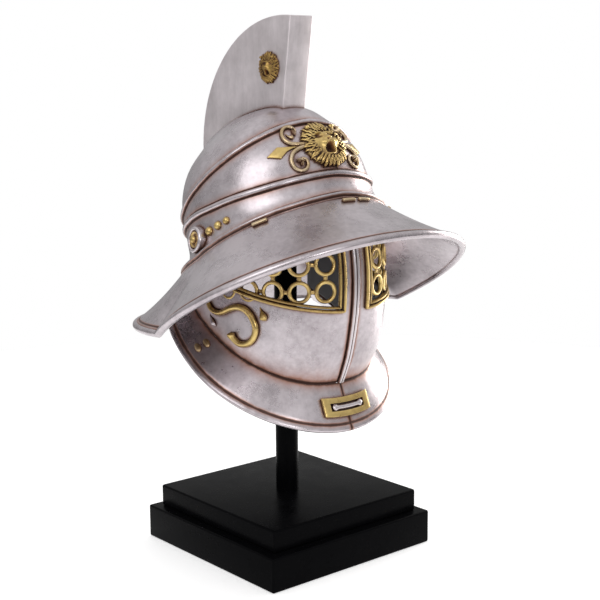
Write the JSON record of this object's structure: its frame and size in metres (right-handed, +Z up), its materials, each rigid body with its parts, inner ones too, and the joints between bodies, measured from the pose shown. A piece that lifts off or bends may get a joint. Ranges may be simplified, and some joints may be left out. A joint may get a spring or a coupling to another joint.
{
  "type": "thracian helmet on a display stand",
  "caption": "Desk-size replica of a wide-brimmed gladiator helmet with a tall crest, pierced eye grilles and a flared chin flange, on a round post and a square two-tier plinth.",
  "frame": {"origin": "centre of the plinth's underside", "axes": "+Z up, the helmet faces -Y, +X is the wearer's left"},
  "size_m": [0.1564, 0.1466, 0.2474],
  "materials": {
    "silver": "antique silver leaf paint with dark wash",
    "bright_silver": "rubbed silver paint",
    "gold": "antique gold paint",
    "old_gold": "darkened antique gold paint",
    "black": "satin black lacquer"
  },
  "bodies": {
    "root": {"plinth_lower": "black", "plinth_upper": "black", "stand_post": "black", "crown": "silver", "brim": "silver", "crest": "silver", "bead_lower": "bright_silver", "bead_middle": "bright_silver", "bead_upper": "bright_silver", "brim_roll": "bright_silver", "visor_ridge": "bright_silver", "lion_boss": "gold", "bar_front_middle": "bright_silver", "bar_front_left": "bright_silver", "bar_side_right": "bright_silver", "bar_side_left": "bright_silver", "buckle_plate": "gold", "buckle_bar": "bright_silver", "visor_right": "silver", "eye_grille_right": "gold", "chin_flange_right": "silver", "crest_lion_right": "old_gold", "scroll_upper_right": "bright_silver", "scroll_lower_right": "bright_silver", "leaf_right": "gold", "rosette_ring_right": "bright_silver", "rosette_dish_right": "gold", "s_scroll_right": "gold", "gold_drop_right": "gold", "silver_drop_right": "bright_silver", "stud_right_1": "gold", "stud_right_2": "gold", "stud_right_3": "gold", "flange_stud_right_1": "bright_silver", "flange_stud_right_2": "bright_silver", "visor_left": "silver", "eye_grille_left": "gold", "chin_flange_left": "silver", "crest_lion_left": "old_gold", "scroll_upper_left": "bright_silver", "scroll_lower_left": "bright_silver", "leaf_left": "gold", "rosette_ring_left": "bright_silver", "rosette_dish_left": "gold", "s_scroll_left": "gold", "gold_drop_left": "gold", "silver_drop_left": "bright_silver", "stud_left_1": "gold", "stud_left_2": "gold", "stud_left_3": "gold", "flange_stud_left_1": "bright_silver", "flange_stud_left_2": "bright_silver"}
  },
  "joints": []
}
